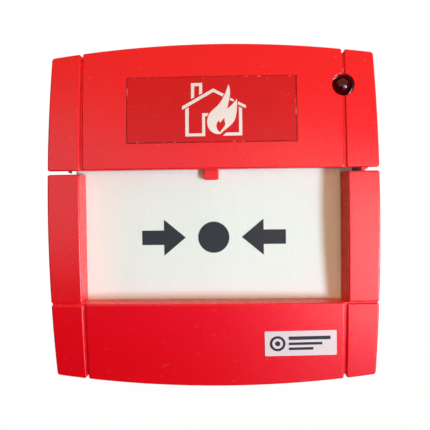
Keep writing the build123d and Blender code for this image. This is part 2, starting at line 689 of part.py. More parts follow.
# ---------------------------------------------------------- circuit board
BOARD_OUTLINE = [  # x, z
    (-26, -14), (8, -14), (8, -36.2), (34.5, -36.2), (34.5, -11.0),
    (25.0, -11.0), (25.0, 29.8), (38.4, 29.8), (38.4, 36.6), (-26, 36.6),
]
BOARD_HOLES = (  # x, z, radius
    [(x, z, 1.4) for x, z in BOARD_SCREWS]
    + [(x, LED_Z, 0.4) for x in LED_LEAD_X]
    + [(SWITCH_X, z, 0.6) for z in SWITCH_PIN_Z]
    + [(x, TERMINAL_Z, 0.75) for x in TERMINAL_X]
    + [(x, z, 0.45) for z in RESISTOR_Z for x in RESISTOR_LEAD_X]
    + [(DIODE_X, z, 0.45) for z in DIODE_LEAD_Z]
)

with BuildPart() as circuit_board:
    with BuildSketch(Plane.XZ.offset(BOARD_REAR)) as board_face:
        with BuildLine():
            Polyline(*BOARD_OUTLINE, close=True)
        make_face()
        fillet(board_face.vertices(), 0.9)
    extrude(amount=BOARD_FRONT - BOARD_REAR)
    for x, z, radius in BOARD_HOLES:
        rod_y(x, z, radius, 0, 10, Mode.SUBTRACT)
save(circuit_board, "circuit_board")


def board_screw(x, z):
    """A round-headed screw with a cross recess."""
    recess_rear = BOARD_FRONT + 0.7
    with BuildPart() as screw:
        rod_y(x, z, 1.1, 1.6, BOARD_FRONT + 0.4)
        rod_y(x, z, 2.25, BOARD_FRONT + 0.02, BOARD_FRONT + 1.5)
        fillet(front_rim(screw), 0.6)
        block_at(x, 1.3, recess_rear, 12, z - 0.25, z + 0.25, Mode.SUBTRACT)
        block_at(x, 0.25, recess_rear, 12, z - 1.3, z + 1.3, Mode.SUBTRACT)
    return screw.part


with BuildPart() as board_screws:
    for x, z in BOARD_SCREWS:
        add(board_screw(x, z))
save(board_screws, "board_screws")

# ----------------------------------------------------------- microswitch
SWITCH_LEFT, SWITCH_RIGHT = SWITCH_X - 2.9, SWITCH_X + 2.9
EAR_T = 0.85
LEVER_OUT = 14.0          # lever pivot
LEVER_Z = 1.6
LEVER_HALF_W = 1.9
LEVER_HALF_T = 0.15
LEVER_LEAN = radians(13.0)
LEVER_START, LEVER_END = 0.5, 11.3    # ends of the strip, from the pivot
PLUNGER_Z = LEVER_Z - 3.2

with BuildPart() as switch_body:
    block(SWITCH_LEFT, SWITCH_RIGHT, BOARD_FRONT, 13.1, -10.4, 2.4)
    chamfer(switch_body.edges().filter_by(Axis.X), 0.3)
    # hinge ears and the axle between them
    for ear in ((SWITCH_LEFT, SWITCH_LEFT + EAR_T), (SWITCH_RIGHT - EAR_T, SWITCH_RIGHT)):
        block(*ear, 12.5, LEVER_OUT + 0.9, LEVER_Z - 0.9, LEVER_Z + 0.7)
    rod_x(SWITCH_LEFT, SWITCH_RIGHT, LEVER_OUT, LEVER_Z, 0.42)
    # plunger hole, then the two fixing holes of the case
    rod_y(SWITCH_X, PLUNGER_Z, 0.66, 11.0, 14, Mode.SUBTRACT)
    for z in (-8.2, 0.2):
        rod_x(SWITCH_LEFT - 1, SWITCH_RIGHT + 1, 9.6, z, 0.75, Mode.SUBTRACT)
save(switch_body, "switch_body")

with BuildPart() as switch_plunger:
    rod_y(SWITCH_X, PLUNGER_Z, 0.6, 12.0, 14.42)
    fillet(front_rim(switch_plunger), 0.35)
save(switch_plunger, "switch_plunger")


def lever_point(along, across):
    """(y, z) of a point along the leaning strip and across it to the front."""
    return (
        -LEVER_OUT - sin(LEVER_LEAN) * along - cos(LEVER_LEAN) * across,
        LEVER_Z - cos(LEVER_LEAN) * along + sin(LEVER_LEAN) * across,
    )


with BuildPart() as switch_lever:
    lever_span = (SWITCH_X - LEVER_HALF_W, SWITCH_X + LEVER_HALF_W)
    rod_x(*lever_span, LEVER_OUT, LEVER_Z, 0.8)
    # strip that leans away from the case towards its free end
    with BuildSketch(Plane.YZ.offset(SWITCH_X - LEVER_HALF_W)):
        with BuildLine():
            Polyline(
                lever_point(LEVER_START, LEVER_HALF_T), lever_point(LEVER_END, LEVER_HALF_T),
                lever_point(LEVER_END, -LEVER_HALF_T), lever_point(LEVER_START, -LEVER_HALF_T),
                close=True,
            )
        make_face()
    extrude(amount=2 * LEVER_HALF_W)
    rod_x(SWITCH_X - 3, SWITCH_X + 3, LEVER_OUT, LEVER_Z, 0.47, Mode.SUBTRACT)
save(switch_lever, "switch_lever")

with BuildPart() as switch_pins:
    for z in SWITCH_PIN_Z:
        rod_y(SWITCH_X, z, 0.4, 3.6, BOARD_FRONT - 0.01)
save(switch_pins, "switch_pins")

# -------------------------------------------------------------- status LED
STATUS_LED_REAR = 9.4

with BuildPart() as status_led:
    rod_y(LED_X, LED_Z, 2.5, STATUS_LED_REAR, 14.5)
    fillet(front_rim(status_led), 2.3)
    rod_y(LED_X, LED_Z, 2.9, STATUS_LED_REAR, 10.4)
save(status_led, "status_led")

with BuildPart() as status_led_leads:
    for x in LED_LEAD_X:
        rod_y(x, LED_Z, 0.25, 3.8, STATUS_LED_REAR - 0.01)
save(status_led_leads, "status_led_leads")

# ------------------------------------------------------ board components
RESISTOR_LEFT, RESISTOR_RIGHT = -16.2, -9.8
# Dog-bone body: x, radius
RESISTOR_PROFILE = [
    (RESISTOR_LEFT, 0.9), (-15.5, 1.22), (-14.5, 1.02), (-13.0, 0.98),
    (-11.5, 1.02), (-10.5, 1.22), (RESISTOR_RIGHT, 0.9),
]
DIODE_BOTTOM, DIODE_TOP = 24.2, 28.8
LEAD_GAP = 0.02           # keeps each lead clear of its body
LEAD_END = 3.9            # rear ends of the leads

with BuildPart() as resistors:
    for z in RESISTOR_Z:
        with BuildSketch(Plane.XZ.offset(RESISTOR_OUT)):
            with BuildLine():
                Polyline((RESISTOR_RIGHT, z), (RESISTOR_LEFT, z), (RESISTOR_LEFT, z + 0.9))
                Spline(*[(x, z + radius) for x, radius in RESISTOR_PROFILE])
                Line((RESISTOR_RIGHT, z + 0.9), (RESISTOR_RIGHT, z))
            make_face()
        revolve(axis=Axis((0, -RESISTOR_OUT, z), (1, 0, 0)))
save(resistors, "resistors")

with BuildPart() as diode:
    rod_z(DIODE_X, DIODE_OUT, DIODE_BOTTOM, DIODE_TOP, 1.15)
    fillet(diode.edges().filter_by(GeomType.CIRCLE), 0.3)
save(diode, "diode")


def bent_lead(start, bend, end, direction):
    """A round wire that leaves start along direction and turns at bend."""
    with BuildPart() as lead:
        with BuildLine():
            FilletPolyline(start, bend, end, radius=0.6)
        with BuildSketch(Plane(origin=start, z_dir=direction)):
            Circle(0.25)
        sweep()
    return lead.part


with BuildPart() as component_leads:
    for z in RESISTOR_Z:
        for start_x, lead_x, side in (
            (RESISTOR_LEFT - LEAD_GAP, RESISTOR_LEAD_X[0], -1),
            (RESISTOR_RIGHT + LEAD_GAP, RESISTOR_LEAD_X[1], 1),
        ):
            add(bent_lead(
                (start_x, -RESISTOR_OUT, z), (lead_x, -RESISTOR_OUT, z),
                (lead_x, -LEAD_END, z), (side, 0, 0),
            ))
    for start_z, lead_z, side in (
        (DIODE_BOTTOM - LEAD_GAP, DIODE_LEAD_Z[0], -1),
        (DIODE_TOP + LEAD_GAP, DIODE_LEAD_Z[1], 1),
    ):
        add(bent_lead(
            (DIODE_X, -DIODE_OUT, start_z), (DIODE_X, -DIODE_OUT, lead_z),
            (DIODE_X, -LEAD_END, lead_z), (0, 0, side),
        ))
save(component_leads, "component_leads")

# --------------------------------------------------------- terminal block
PLUG_STEP = 12.7          # the plug is wider in front of this

with BuildPart() as terminal_header:
    block(8.9, 31.9, BOARD_FRONT, 12.6, -34.6, -27.2)
    block(9.7, 31.1, 7.8, 13, -33.8, -28.0, Mode.SUBTRACT)
    for x in TERMINAL_X:
        rod_y(x, TERMINAL_Z, 0.62, 0, 9, Mode.SUBTRACT)
save(terminal_header, "terminal_header")

with BuildPart() as terminal_pins:
    for x in TERMINAL_X:
        block_at(x, 0.4, 4.0, 11.6, TERMINAL_Z - 0.4, TERMINAL_Z + 0.4)
save(terminal_pins, "terminal_pins")

with BuildPart() as terminal_plug:
    block(9.8, 31.0, 7.9, PLUG_STEP, -33.7, -28.1)
    block(9.3, 31.5, PLUG_STEP, 19.4, -35.2, -26.4)
    chamfer(terminal_plug.edges().filter_by(Axis.X).group_by(Axis.Y)[0], 0.6)
    for x in TERMINAL_X:
        # screw well, cage pocket with its wire mouth, and pin socket
        rod_y(x, TERMINAL_Z, 1.85, 17.0, 21, Mode.SUBTRACT)
        block_at(x, 2.05, 12.9, 17.0, -33.4, -25.0, Mode.SUBTRACT)
        block_at(x, 0.55, 7.0, 13.0, TERMINAL_Z - 0.55, TERMINAL_Z + 0.55, Mode.SUBTRACT)
save(terminal_plug, "terminal_plug")


def clamp_cage(x):
    with BuildPart() as cage:
        block_at(x, 1.95, 13.0, 16.9, -33.3, -27.4)
        block_at(x, 1.4, 13.5, 16.0, -34, -27, Mode.SUBTRACT)
        rod_y(x, TERMINAL_Z, 1.05, 15, 18, Mode.SUBTRACT)
    return cage.part


def clamp_screw(x):
    with BuildPart() as screw:
        rod_y(x, TERMINAL_Z, 1.0, 14.4, 17.4)
        rod_y(x, TERMINAL_Z, 1.7, 17.1, 18.6)
        fillet(front_rim(screw), 0.35)
        block_at(x, 1.4, 18.0, 21, TERMINAL_Z - 0.2, TERMINAL_Z + 0.2, Mode.SUBTRACT)
    return screw.part


with BuildPart() as terminal_clamps:
    for x in TERMINAL_X:
        add(clamp_cage(x))
save(terminal_clamps, "terminal_clamps")

with BuildPart() as terminal_screws:
    for x in TERMINAL_X:
        add(clamp_screw(x))
save(terminal_screws, "terminal_screws")
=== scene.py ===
# A wall-mounted call point: a red cover over a black frame, a white press plate, and
# behind them a circuit board, switch, terminals and return springs.
# Units are metres. The front faces -Y, the wall side is +Y, right is +X and up is +Z.
import json
import math

import bmesh
import bpy
from mathutils import Matrix, Vector


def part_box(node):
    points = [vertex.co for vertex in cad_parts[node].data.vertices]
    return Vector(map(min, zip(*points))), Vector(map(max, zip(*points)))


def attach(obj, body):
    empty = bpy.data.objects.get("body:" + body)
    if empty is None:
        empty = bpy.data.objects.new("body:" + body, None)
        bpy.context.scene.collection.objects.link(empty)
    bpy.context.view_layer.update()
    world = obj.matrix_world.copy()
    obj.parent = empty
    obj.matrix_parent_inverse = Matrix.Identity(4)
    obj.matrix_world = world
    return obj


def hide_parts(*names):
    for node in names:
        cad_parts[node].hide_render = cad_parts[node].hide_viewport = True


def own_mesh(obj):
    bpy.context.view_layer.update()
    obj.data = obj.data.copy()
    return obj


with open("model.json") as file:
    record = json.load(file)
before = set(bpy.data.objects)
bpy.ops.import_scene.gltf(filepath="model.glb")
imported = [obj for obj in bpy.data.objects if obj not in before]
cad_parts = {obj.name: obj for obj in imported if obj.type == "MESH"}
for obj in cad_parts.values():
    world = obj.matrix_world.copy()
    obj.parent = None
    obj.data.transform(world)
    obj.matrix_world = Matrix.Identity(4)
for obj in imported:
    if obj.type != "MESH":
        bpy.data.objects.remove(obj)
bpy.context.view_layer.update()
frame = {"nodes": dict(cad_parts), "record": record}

MM = 0.001


# ---------------------------------------------------------------- node helpers
def shade(colour, factor, lift=0.0):
    """The colour scaled and lifted, each channel kept to 1 at most."""
    return tuple(min(1.0, channel * factor + lift) for channel in colour)


class Nodes:
    """A node tree with an output and one kind of texture coordinate."""

    def __init__(self, owner, output_kind, space):
        owner.use_nodes = True
        self.tree = owner.node_tree
        self.tree.nodes.clear()
        self.output = self.add(output_kind)
        self.coord = self.add("ShaderNodeTexCoord").outputs[space]

    def add(self, kind, **settings):
        node = self.tree.nodes.new(kind)
        for key, value in settings.items():
            setattr(node, key, value)
        return node

    def put(self, socket, value):
        """Link a socket, or set a plain value."""
        if isinstance(value, bpy.types.NodeSocket):
            self.tree.links.new(value, socket)
        else:
            socket.default_value = value

    def axes(self):
        """The x, y and z outputs of the coordinate."""
        node = self.add("ShaderNodeSeparateXYZ")
        self.put(node.inputs[0], self.coord)
        return node.outputs

    def math(self, operation, first, second=0.0, clamp=False):
        node = self.add("ShaderNodeMath", operation=operation, use_clamp=clamp)
        self.put(node.inputs[0], first)
        self.put(node.inputs[1], second)
        return node.outputs[0]

    def plus(self, first, second, clamp=False):
        return self.math("ADD", first, second, clamp)

    def minus(self, first, second):
        return self.math("SUBTRACT", first, second)

    def times(self, first, second, clamp=False):
        return self.math("MULTIPLY", first, second, clamp)

    def mix_shader(self, factor, first, second):
        node = self.add("ShaderNodeMixShader")
        for socket, value in zip(node.inputs, (factor, first, second)):
            self.put(socket, value)
        return node.outputs[0]

    def surface(self, shader):
        self.put(self.output.inputs["Surface"], shader)


class Graph(Nodes):
    """The node tree of one new material, in object coordinates."""

    def __init__(self, name):
        self.material = bpy.data.materials.new(name)
        super().__init__(self.material, "ShaderNodeOutputMaterial", "Object")

    def math(self, operation, first, second=0.0, clamp=False):
        result = super().math(operation, first, second, clamp)
        # a neutral third operand
        result.node.inputs[2].default_value = 0.0
        return result

    def mapped(self, vector=None, location=(0, 0, 0), rotation=(0, 0, 0), scale=(1, 1, 1)):
        node = self.add("ShaderNodeMapping")
        self.put(node.inputs["Vector"], vector or self.coord)
        node.inputs["Location"].default_value = location
        node.inputs["Rotation"].default_value = rotation
        node.inputs["Scale"].default_value = scale
        return node.outputs["Vector"]

    def noise(self, scale, detail=4.0, rough=0.55, stretch=(1, 1, 1), shift=(0, 0, 0)):
        vector = self.coord
        if (stretch, shift) != ((1, 1, 1), (0, 0, 0)):
            vector = self.mapped(location=shift, scale=stretch)
        node = self.add("ShaderNodeTexNoise")
        self.put(node.inputs["Vector"], vector)
        node.inputs["Scale"].default_value = scale
        node.inputs["Detail"].default_value = detail
        node.inputs["Roughness"].default_value = rough
        return node.outputs["Fac"]

    def ramp(self, value, span, to=(0.0, 1.0)):
        """Map the values in span linearly onto to, and hold the ends."""
        node = self.add("ShaderNodeMapRange")
        self.put(node.inputs["Value"], value)
        node.inputs["From Min"].default_value, node.inputs["From Max"].default_value = span
        node.inputs["To Min"].default_value, node.inputs["To Max"].default_value = to
        return node.outputs["Result"]

    def mix(self, factor, first, second):
        """Mix two colours, each a socket or a red, green, blue tuple."""
        node = self.add("ShaderNodeMix", data_type="RGBA")
        self.put(node.inputs[0], factor)
        for index, colour in ((6, first), (7, second)):
            opaque = colour + (1.0,) if isinstance(colour, tuple) else colour
            self.put(node.inputs[index], opaque)
        return node.outputs[2]

    def tint(self, colour, tint, mask, amount):
        """Bring a share of the tint into the colour where the mask is 1."""
        return self.mix(self.times(mask, amount), colour, tint)

    def bump(self, height, distance, normal):
        node = self.add("ShaderNodeBump")
        self.put(node.inputs["Height"], height)
        node.inputs["Distance"].default_value = distance
        node.inputs["Strength"].default_value = 1.0
        self.put(node.inputs["Normal"], normal)
        return node.outputs["Normal"]

    def bevel(self, radius):
        node = self.add("ShaderNodeBevel", samples=6)
        node.inputs["Radius"].default_value = radius
        return node.outputs["Normal"]

    def edge_mask(self, bevel_normal):
        """1 along convex and concave edges, 0 on open faces."""
        geometry = self.add("ShaderNodeNewGeometry")
        dot = self.add("ShaderNodeVectorMath", operation="DOT_PRODUCT")
        self.put(dot.inputs[0], bevel_normal)
        self.put(dot.inputs[1], geometry.outputs["Normal"])
        return self.ramp(self.minus(1.0, dot.outputs["Value"]), span=(0.02, 0.25))

    def cells(self, vector, scale, span, keep, dimensions="3D"):
        """A mark in each cell whose random value is below keep."""
        node = self.add("ShaderNodeTexVoronoi", voronoi_dimensions=dimensions)
        self.put(node.inputs["Vector"], vector)
        node.inputs["Scale"].default_value = scale
        mark = self.ramp(node.outputs["Distance"], span)
        channels = self.add("ShaderNodeSeparateColor")
        self.put(channels.inputs[0], node.outputs["Color"])
        kept = self.math("LESS_THAN", channels.outputs[0], keep)
        return self.times(mark, kept, clamp=True)

    def specks(self, scale, size, keep, shift=(0, 0, 0), front=True):
        """Sparse dots. With front, the cells lie in the plane of the object's front."""
        turn = (math.radians(90), 0, 0) if front else (0, 0, 0)
        vector = self.mapped(location=shift, rotation=turn)
        return self.cells(vector, scale, (size, size * 0.5), keep, "2D" if front else "3D")

    def scratches(self, scale, keep, angle, shift=(0, 0, 0)):
        """Short fine lines, from cells stretched along one direction."""
        turned = self.mapped(location=shift, rotation=(0, angle, 0))
        thin = self.mapped(turned, scale=(1.0, 0.2, 14.0))
        return self.cells(thin, scale, (0.16, 0.06), keep)

    def principled(self, **values):
        """Finish with a principled shader; underscores stand for spaces in input names."""
        node = self.add("ShaderNodeBsdfPrincipled")
        for key, value in values.items():
            self.put(node.inputs[key.replace("_", " ")], value)
        self.surface(node.outputs[0])


# ------------------------------------------------------------------- materials
MATERIALS = {}


def paint_rim_shade(g, colour, base, node):
    """Paint shade along the node's left, right and lower rim, less along its top, and pale flecks
    on both that are partly chipped edge and partly painted highlight.
    """
    low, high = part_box(node)
    x, _, z = g.axes()
    off_centre = g.math("ABSOLUTE", g.minus(x, (high[0] + low[0]) / 2))
    from_side = g.minus((high[0] - low[0]) / 2, off_centre)
    from_bottom = g.minus(z, low[2])
    from_top = g.minus(high[2], z)
    # painted shade along the rim, as in the gap round a sunk label, stronger at the sides and
    # bottom than at the top
    rim = g.ramp(g.math("MINIMUM", from_side, from_bottom), span=(0.00027, 0.00012))
    top = g.ramp(from_top, span=(0.00022, 0.00010))
    uneven_rim_shade = g.ramp(g.noise(scale=640.0, rough=0.6), span=(0.30, 0.52), to=(0.45, 0.95))
    painted_rim_shade = g.math("MAXIMUM", g.times(rim, uneven_rim_shade), g.times(top, 0.35))
    colour = g.mix(painted_rim_shade, colour, shade(base, 0.30))
    # pale flecks along the rim and top, partly chipped edge and partly painted highlight
    pale_fleck_noise = g.ramp(g.noise(scale=560.0, rough=0.6, shift=(0.2, 0, 0.1)), span=(0.57, 0.64))
    chip_and_highlight_mask = g.times(g.math("MAXIMUM", rim, top), pale_fleck_noise)
    return g.tint(colour, (0.88, 0.36, 0.33), mask=chip_and_highlight_mask, amount=0.7)


def plastic(name, base, rough, mottle, grain=5200.0, grain_depth=0.000012,
            bevel=0.00018, wear_and_highlight=0.25, wear_and_highlight_tint=1.6, spec=0.5,
            speck_keep=0.0, scratch_keep=0.0, rough_var=0.03, rim_shade_node=None):
    """Moulded plastic: fine grain, slight clouding and paler edges, partly worn and partly painted
    highlight.

    mottle: depth of the clouding; grain: its noise scale; wear_and_highlight: strength of the
    paler edges;
    speck_keep, scratch_keep: share of cells marked; rim_shade_node: node whose rim gets painted
    shade.
    """
    g = Graph(name)
    cloud = g.noise(scale=70.0, detail=5.0)
    fine = g.noise(scale=grain, detail=3.0, rough=0.6)
    rounded = g.bevel(bevel)
    pale_edge_patches = g.ramp(g.noise(scale=900.0), span=(0.42, 0.62))
    edge = g.times(g.edge_mask(rounded), pale_edge_patches)
    clouded = g.ramp(cloud, span=(0.35, 0.65))
    colour = g.mix(clouded, shade(base, 1 - mottle), shade(base, 1 + mottle))
    # paler edges, partly worn and partly painted highlight on the rounded lips
    colour = g.tint(colour, shade(base, wear_and_highlight_tint, 0.045), mask=edge, amount=wear_and_highlight)
    roughness = g.plus(
        g.ramp(g.noise(scale=260.0, detail=5.0), span=(0.3, 0.7),
               to=(rough - rough_var, rough + rough_var)),
        g.ramp(fine, span=(0.35, 0.65), to=(-0.03, 0.03)))
    height = fine
    if scratch_keep:
        scratched = g.plus(
            g.scratches(scale=95.0, keep=scratch_keep, angle=0.5),
            g.scratches(scale=110.0, keep=scratch_keep, angle=-0.9, shift=(0.3, 0.1, 0.2)),
            clamp=True)
        roughness = g.plus(roughness, g.times(scratched, 0.2))
        height = g.minus(fine, g.times(scratched, 1.4))
        colour = g.tint(colour, shade(base, 0.8, 0.2), mask=scratched, amount=0.22)
    if speck_keep:
        specked = g.plus(
            g.specks(scale=210.0, size=0.034, keep=speck_keep),
            g.specks(scale=340.0, size=0.046, keep=speck_keep * 0.6, shift=(0.7, 0.2, 0.4)),
            clamp=True)
        colour = g.tint(colour, shade(base, 0.7, 0.36), mask=specked, amount=0.55)
    # painted shade round the rim of the given node, with pale flecks that are partly painted
    # highlight
    if rim_shade_node:
        colour = paint_rim_shade(g, colour, base, rim_shade_node)
    g.principled(
        Base_Color=colour, Roughness=roughness, Normal=g.bump(height, grain_depth, rounded),
        Specular_IOR_Level=spec, Coat_Roughness=0.18)
    MATERIALS[name] = g.material


def metal(name, base, rough, stretch):
    """Drawn or turned metal: fine streaks, tarnish clouds and brighter edges."""
    g = Graph(name)
    streak = g.noise(scale=3200.0, detail=3.0, rough=0.6, stretch=stretch)
    tarnish = g.noise(scale=420.0, detail=5.0)
    rounded = g.bevel(0.00008)
    colour = g.mix(g.ramp(tarnish, span=(0.35, 0.7)), base, shade(base, 0.72))
    colour = g.tint(colour, shade(base, 1.15), mask=g.edge_mask(rounded), amount=0.5)
    roughness = g.plus(
        g.ramp(tarnish, span=(0.3, 0.7), to=(rough - 0.06, rough + 0.12)),
        g.ramp(streak, span=(0.3, 0.7), to=(-0.05, 0.05)))
    g.principled(
        Base_Color=colour, Metallic=1.0, Roughness=roughness,
        Normal=g.bump(streak, 0.000006, rounded))
    MATERIALS[name] = g.material


def element_material():
    """White plate: faint moulding flow, soft grain, small dirt specks and light scuffs."""
    g = Graph("element_white")
    rounded = g.bevel(0.00015)
    flow = g.noise(scale=38.0, detail=6.0, rough=0.6, stretch=(1.0, 1.0, 0.25))
    fine = g.noise(scale=2600.0, rough=0.6)
    brush = g.noise(scale=900.0, detail=3.0, rough=0.6, stretch=(6.0, 1.0, 0.5))
    flowing = g.ramp(flow, span=(0.35, 0.65))
    colour = g.mix(flowing, (0.84, 0.825, 0.795), (0.89, 0.875, 0.85))
    brushed = g.ramp(brush, span=(0.48, 0.70))
    colour = g.tint(colour, (0.78, 0.76, 0.71), mask=brushed, amount=0.40)
    dirt = g.plus(
        g.specks(scale=150.0, size=0.022, keep=0.10),
        g.specks(scale=260.0, size=0.030, keep=0.07, shift=(0.3, 0.6, 0.1)),
        clamp=True)
    colour = g.tint(colour, (0.30, 0.28, 0.26), mask=dirt, amount=0.55)
    scuff = g.plus(
        g.scratches(scale=60.0, keep=0.06, angle=0.2, shift=(0.1, 0, 0)),
        g.scratches(scale=70.0, keep=0.06, angle=1.3, shift=(0, 0, 0.4)),
        clamp=True)
    roughness = g.plus(g.ramp(flow, span=(0.3, 0.7), to=(0.30, 0.40)), g.times(scuff, 0.15))
    grain = g.plus(g.times(fine, 0.6), g.times(brush, 0.5))
    height = g.minus(grain, g.times(scuff, 0.8))
    g.principled(
        Base_Color=colour, Roughness=roughness, Normal=g.bump(height, 0.000006, rounded),
        Subsurface_Weight=0.12, Subsurface_Radius=(1.0, 0.8, 0.6), Subsurface_Scale=0.001)
    MATERIALS["element_white"] = g.material


def lens_material():
    """Deep red tinted plastic with a glossy, slightly dusty skin, painted paler red where the dome
    is seen edge-on, a painted rim sheen.
    """
    g = Graph("lens_red")
    rounded = g.bevel(0.0001)
    dust = g.noise(scale=2400.0, detail=5.0, rough=0.65)
    edge_on_sheen = g.add("ShaderNodeLayerWeight")
    edge_on_sheen.inputs["Blend"].default_value = 0.35
    g.principled(
        # paler red towards the parts seen edge-on: a painted rim sheen
        Base_Color=g.mix(edge_on_sheen.outputs["Facing"], (0.035, 0.0005, 0.0022), (0.13, 0.0012, 0.004)),
        Roughness=g.ramp(dust, span=(0.35, 0.75), to=(0.03, 0.07)),
        Normal=g.bump(dust, 0.000002, rounded),
        Specular_IOR_Level=0.26)
    MATERIALS["lens_red"] = g.material


def copper_tracks(g, turn, length, pitch, shift):
    """Long parallel tracks: the joints of a brick pattern in the plane of the front."""
    brick = g.add("ShaderNodeTexBrick", offset=0.37)
    g.put(brick.inputs["Vector"], g.mapped(location=shift, rotation=(math.radians(90), 0, turn)))
    brick.inputs["Scale"].default_value = 95.0
    brick.inputs["Mortar Size"].default_value = 0.030
    brick.inputs["Mortar Smooth"].default_value = 0.2
    brick.inputs["Brick Width"].default_value = length
    brick.inputs["Row Height"].default_value = pitch
    return brick.outputs["Fac"]


def board_material():
    """Green solder resist with weave, copper tracks as paler lines and solder dots."""
    g = Graph("board_green")
    rounded = g.bevel(0.0001)
    x, _, z = g.axes()
    weave_waves = [g.math("SINE", g.times(axis, 9000.0)) for axis in (x, z)]
    weave = g.times(*weave_waves)
    # tracks run one way in some areas and at right angles in the others
    area = g.noise(scale=95.0, detail=1.0, rough=0.4)
    across = copper_tracks(g, turn=0.0, length=2.6, pitch=0.15, shift=(0, 0, 0))
    upright = copper_tracks(
        g, turn=math.radians(90), length=3.1, pitch=0.17, shift=(0.01, 0.02, 0))
    track = g.plus(
        g.times(across, g.ramp(area, span=(0.50, 0.53))),
        g.times(upright, g.ramp(area, span=(0.47, 0.44))),
        clamp=True)
    colour = g.mix(track, (0.010, 0.125, 0.048), (0.020, 0.20, 0.080))
    woven = g.ramp(weave, span=(-1, 1), to=(0.0, 0.25))
    colour = g.mix(woven, colour, (0.006, 0.08, 0.03))
    dots = g.specks(scale=240.0, size=0.16, keep=0.22, front=False)
    colour = g.mix(dots, colour, (0.62, 0.60, 0.52))
    roughness = g.plus(
        g.ramp(g.noise(scale=800.0), span=(0.3, 0.7), to=(0.26, 0.38)), g.times(dots, 0.05))
    height = g.plus(g.times(track, 1.0), g.plus(g.times(dots, 2.0), g.times(weave, 0.15)))
    g.principled(
        Base_Color=colour, Roughness=roughness, Normal=g.bump(height, 0.00003, rounded),
        Metallic=g.times(dots, 0.9))
    MATERIALS["board_green"] = g.material


def banded(name, base, rough, axis, bands):
    """Lacquered component body with coloured rings along one axis.

    bands: centre and half width in mm, and colour.
    """
    g = Graph(name)
    rounded = g.bevel(0.00006)
    along = g.axes()[axis]
    colour = base
    for centre, half, ring_colour in bands:
        distance = g.math("ABSOLUTE", g.minus(along, centre * MM))
        colour = g.mix(g.math("LESS_THAN", distance, half * MM), colour, ring_colour)
    cloud = g.noise(scale=1500.0)
    clouded = g.ramp(cloud, span=(0.4, 0.7), to=(0.0, 0.15))
    g.principled(
        Base_Color=g.mix(clouded, colour, shade(base, 0.6)),
        Roughness=g.ramp(cloud, span=(0.3, 0.7), to=(rough - 0.05, rough + 0.08)),
        Normal=g.bump(cloud, 0.00001, rounded))
    MATERIALS[name] = g.material


# the cover's pale edges are partly worn and partly painted highlight on the groove lips and rims
plastic(
    "cover_red", base=(0.88, 0.0010, 0.0090), rough=0.27, mottle=0.015, grain=6500.0,
    grain_depth=0.0000045, bevel=0.00022, wear_and_highlight=0.55, wear_and_highlight_tint=1.08,
    speck_keep=0.10, scratch_keep=0.04, rough_var=0.008)
plastic(
    "label_red", base=(0.655, 0.0045, 0.0090), rough=0.30, mottle=0.03,
    grain_depth=0.0000015, bevel=0.00005, wear_and_highlight=0.3, wear_and_highlight_tint=1.2, spec=0.30,
    speck_keep=0.16, scratch_keep=0.10, rough_var=0.02, rim_shade_node="symbol_label")
plastic(
    "print_white", base=(0.92, 0.75, 0.71), rough=0.5, mottle=0.04, grain=4000.0,
    grain_depth=0.000004, bevel=0.00003, wear_and_highlight=0.2, wear_and_highlight_tint=1.0)
plastic(
    "sticker_white", base=(0.84, 0.62, 0.65), rough=0.33, mottle=0.03, grain=3000.0,
    grain_depth=0.000004, bevel=0.00006, wear_and_highlight=0.3, wear_and_highlight_tint=1.05, scratch_keep=0.03)
plastic(
    "print_dark", base=(0.0125, 0.0185, 0.0250), rough=0.45, mottle=0.12, grain=4200.0,
    grain_depth=0.000004, bevel=0.00003, wear_and_highlight=0.35, wear_and_highlight_tint=2.2, spec=0.22,
    speck_keep=0.05, scratch_keep=0.05)
plastic(
    "frame_black", base=(0.0115, 0.0110, 0.0115), rough=0.60, mottle=0.2, grain=3000.0,
    grain_depth=0.00003, bevel=0.0002, wear_and_highlight=0.4, wear_and_highlight_tint=1.5, spec=0.35,
    scratch_keep=0.03)
plastic(
    "flag_yellow", base=(0.86, 0.56, 0.015), rough=0.42, mottle=0.05, grain=3600.0,
    grain_depth=0.00001, wear_and_highlight=0.3, wear_and_highlight_tint=1.15)
plastic(
    "switch_black", base=(0.022, 0.022, 0.025), rough=0.42, mottle=0.15,
    grain_depth=0.00001, bevel=0.0001, wear_and_highlight=0.4, wear_and_highlight_tint=3.0)
plastic("plunger_red", base=(0.50, 0.015, 0.012), rough=0.35, mottle=0.08, bevel=0.00005)
plastic(
    "terminal_green", base=(0.012, 0.20, 0.075), rough=0.45, mottle=0.08, grain=4200.0,
    grain_depth=0.00001, bevel=0.00012, wear_and_highlight=0.35, wear_and_highlight_tint=1.5)
plastic(
    "slide_black", base=(0.030, 0.030, 0.033), rough=0.38, mottle=0.15, bevel=0.00015,
    wear_and_highlight=0.5, wear_and_highlight_tint=3.0, scratch_keep=0.05)
plastic(
    "latch_grey", base=(0.22, 0.225, 0.235), rough=0.42, mottle=0.08, bevel=0.00015,
    wear_and_highlight=0.4, wear_and_highlight_tint=1.5, scratch_keep=0.04)
metal("spring_steel", base=(0.58, 0.57, 0.55), rough=0.26, stretch=(1, 1, 4))
metal("screw_steel", base=(0.62, 0.62, 0.60), rough=0.30, stretch=(1, 5, 1))
metal("tinned", base=(0.70, 0.70, 0.67), rough=0.34, stretch=(3, 1, 1))
metal("brass", base=(0.72, 0.50, 0.20), rough=0.30, stretch=(1, 1, 4))
element_material()
lens_material()
board_material()
banded(
    "resistor_tan", base=(0.55, 0.38, 0.20), rough=0.32, axis=0,
    bands=[
        (-15.5, 0.28, (0.65, 0.55, 0.02)),
        (-14.3, 0.25, (0.12, 0.02, 0.30)),
        (-13.2, 0.25, (0.10, 0.035, 0.012)),
        (-10.5, 0.28, (0.60, 0.42, 0.10)),
    ])
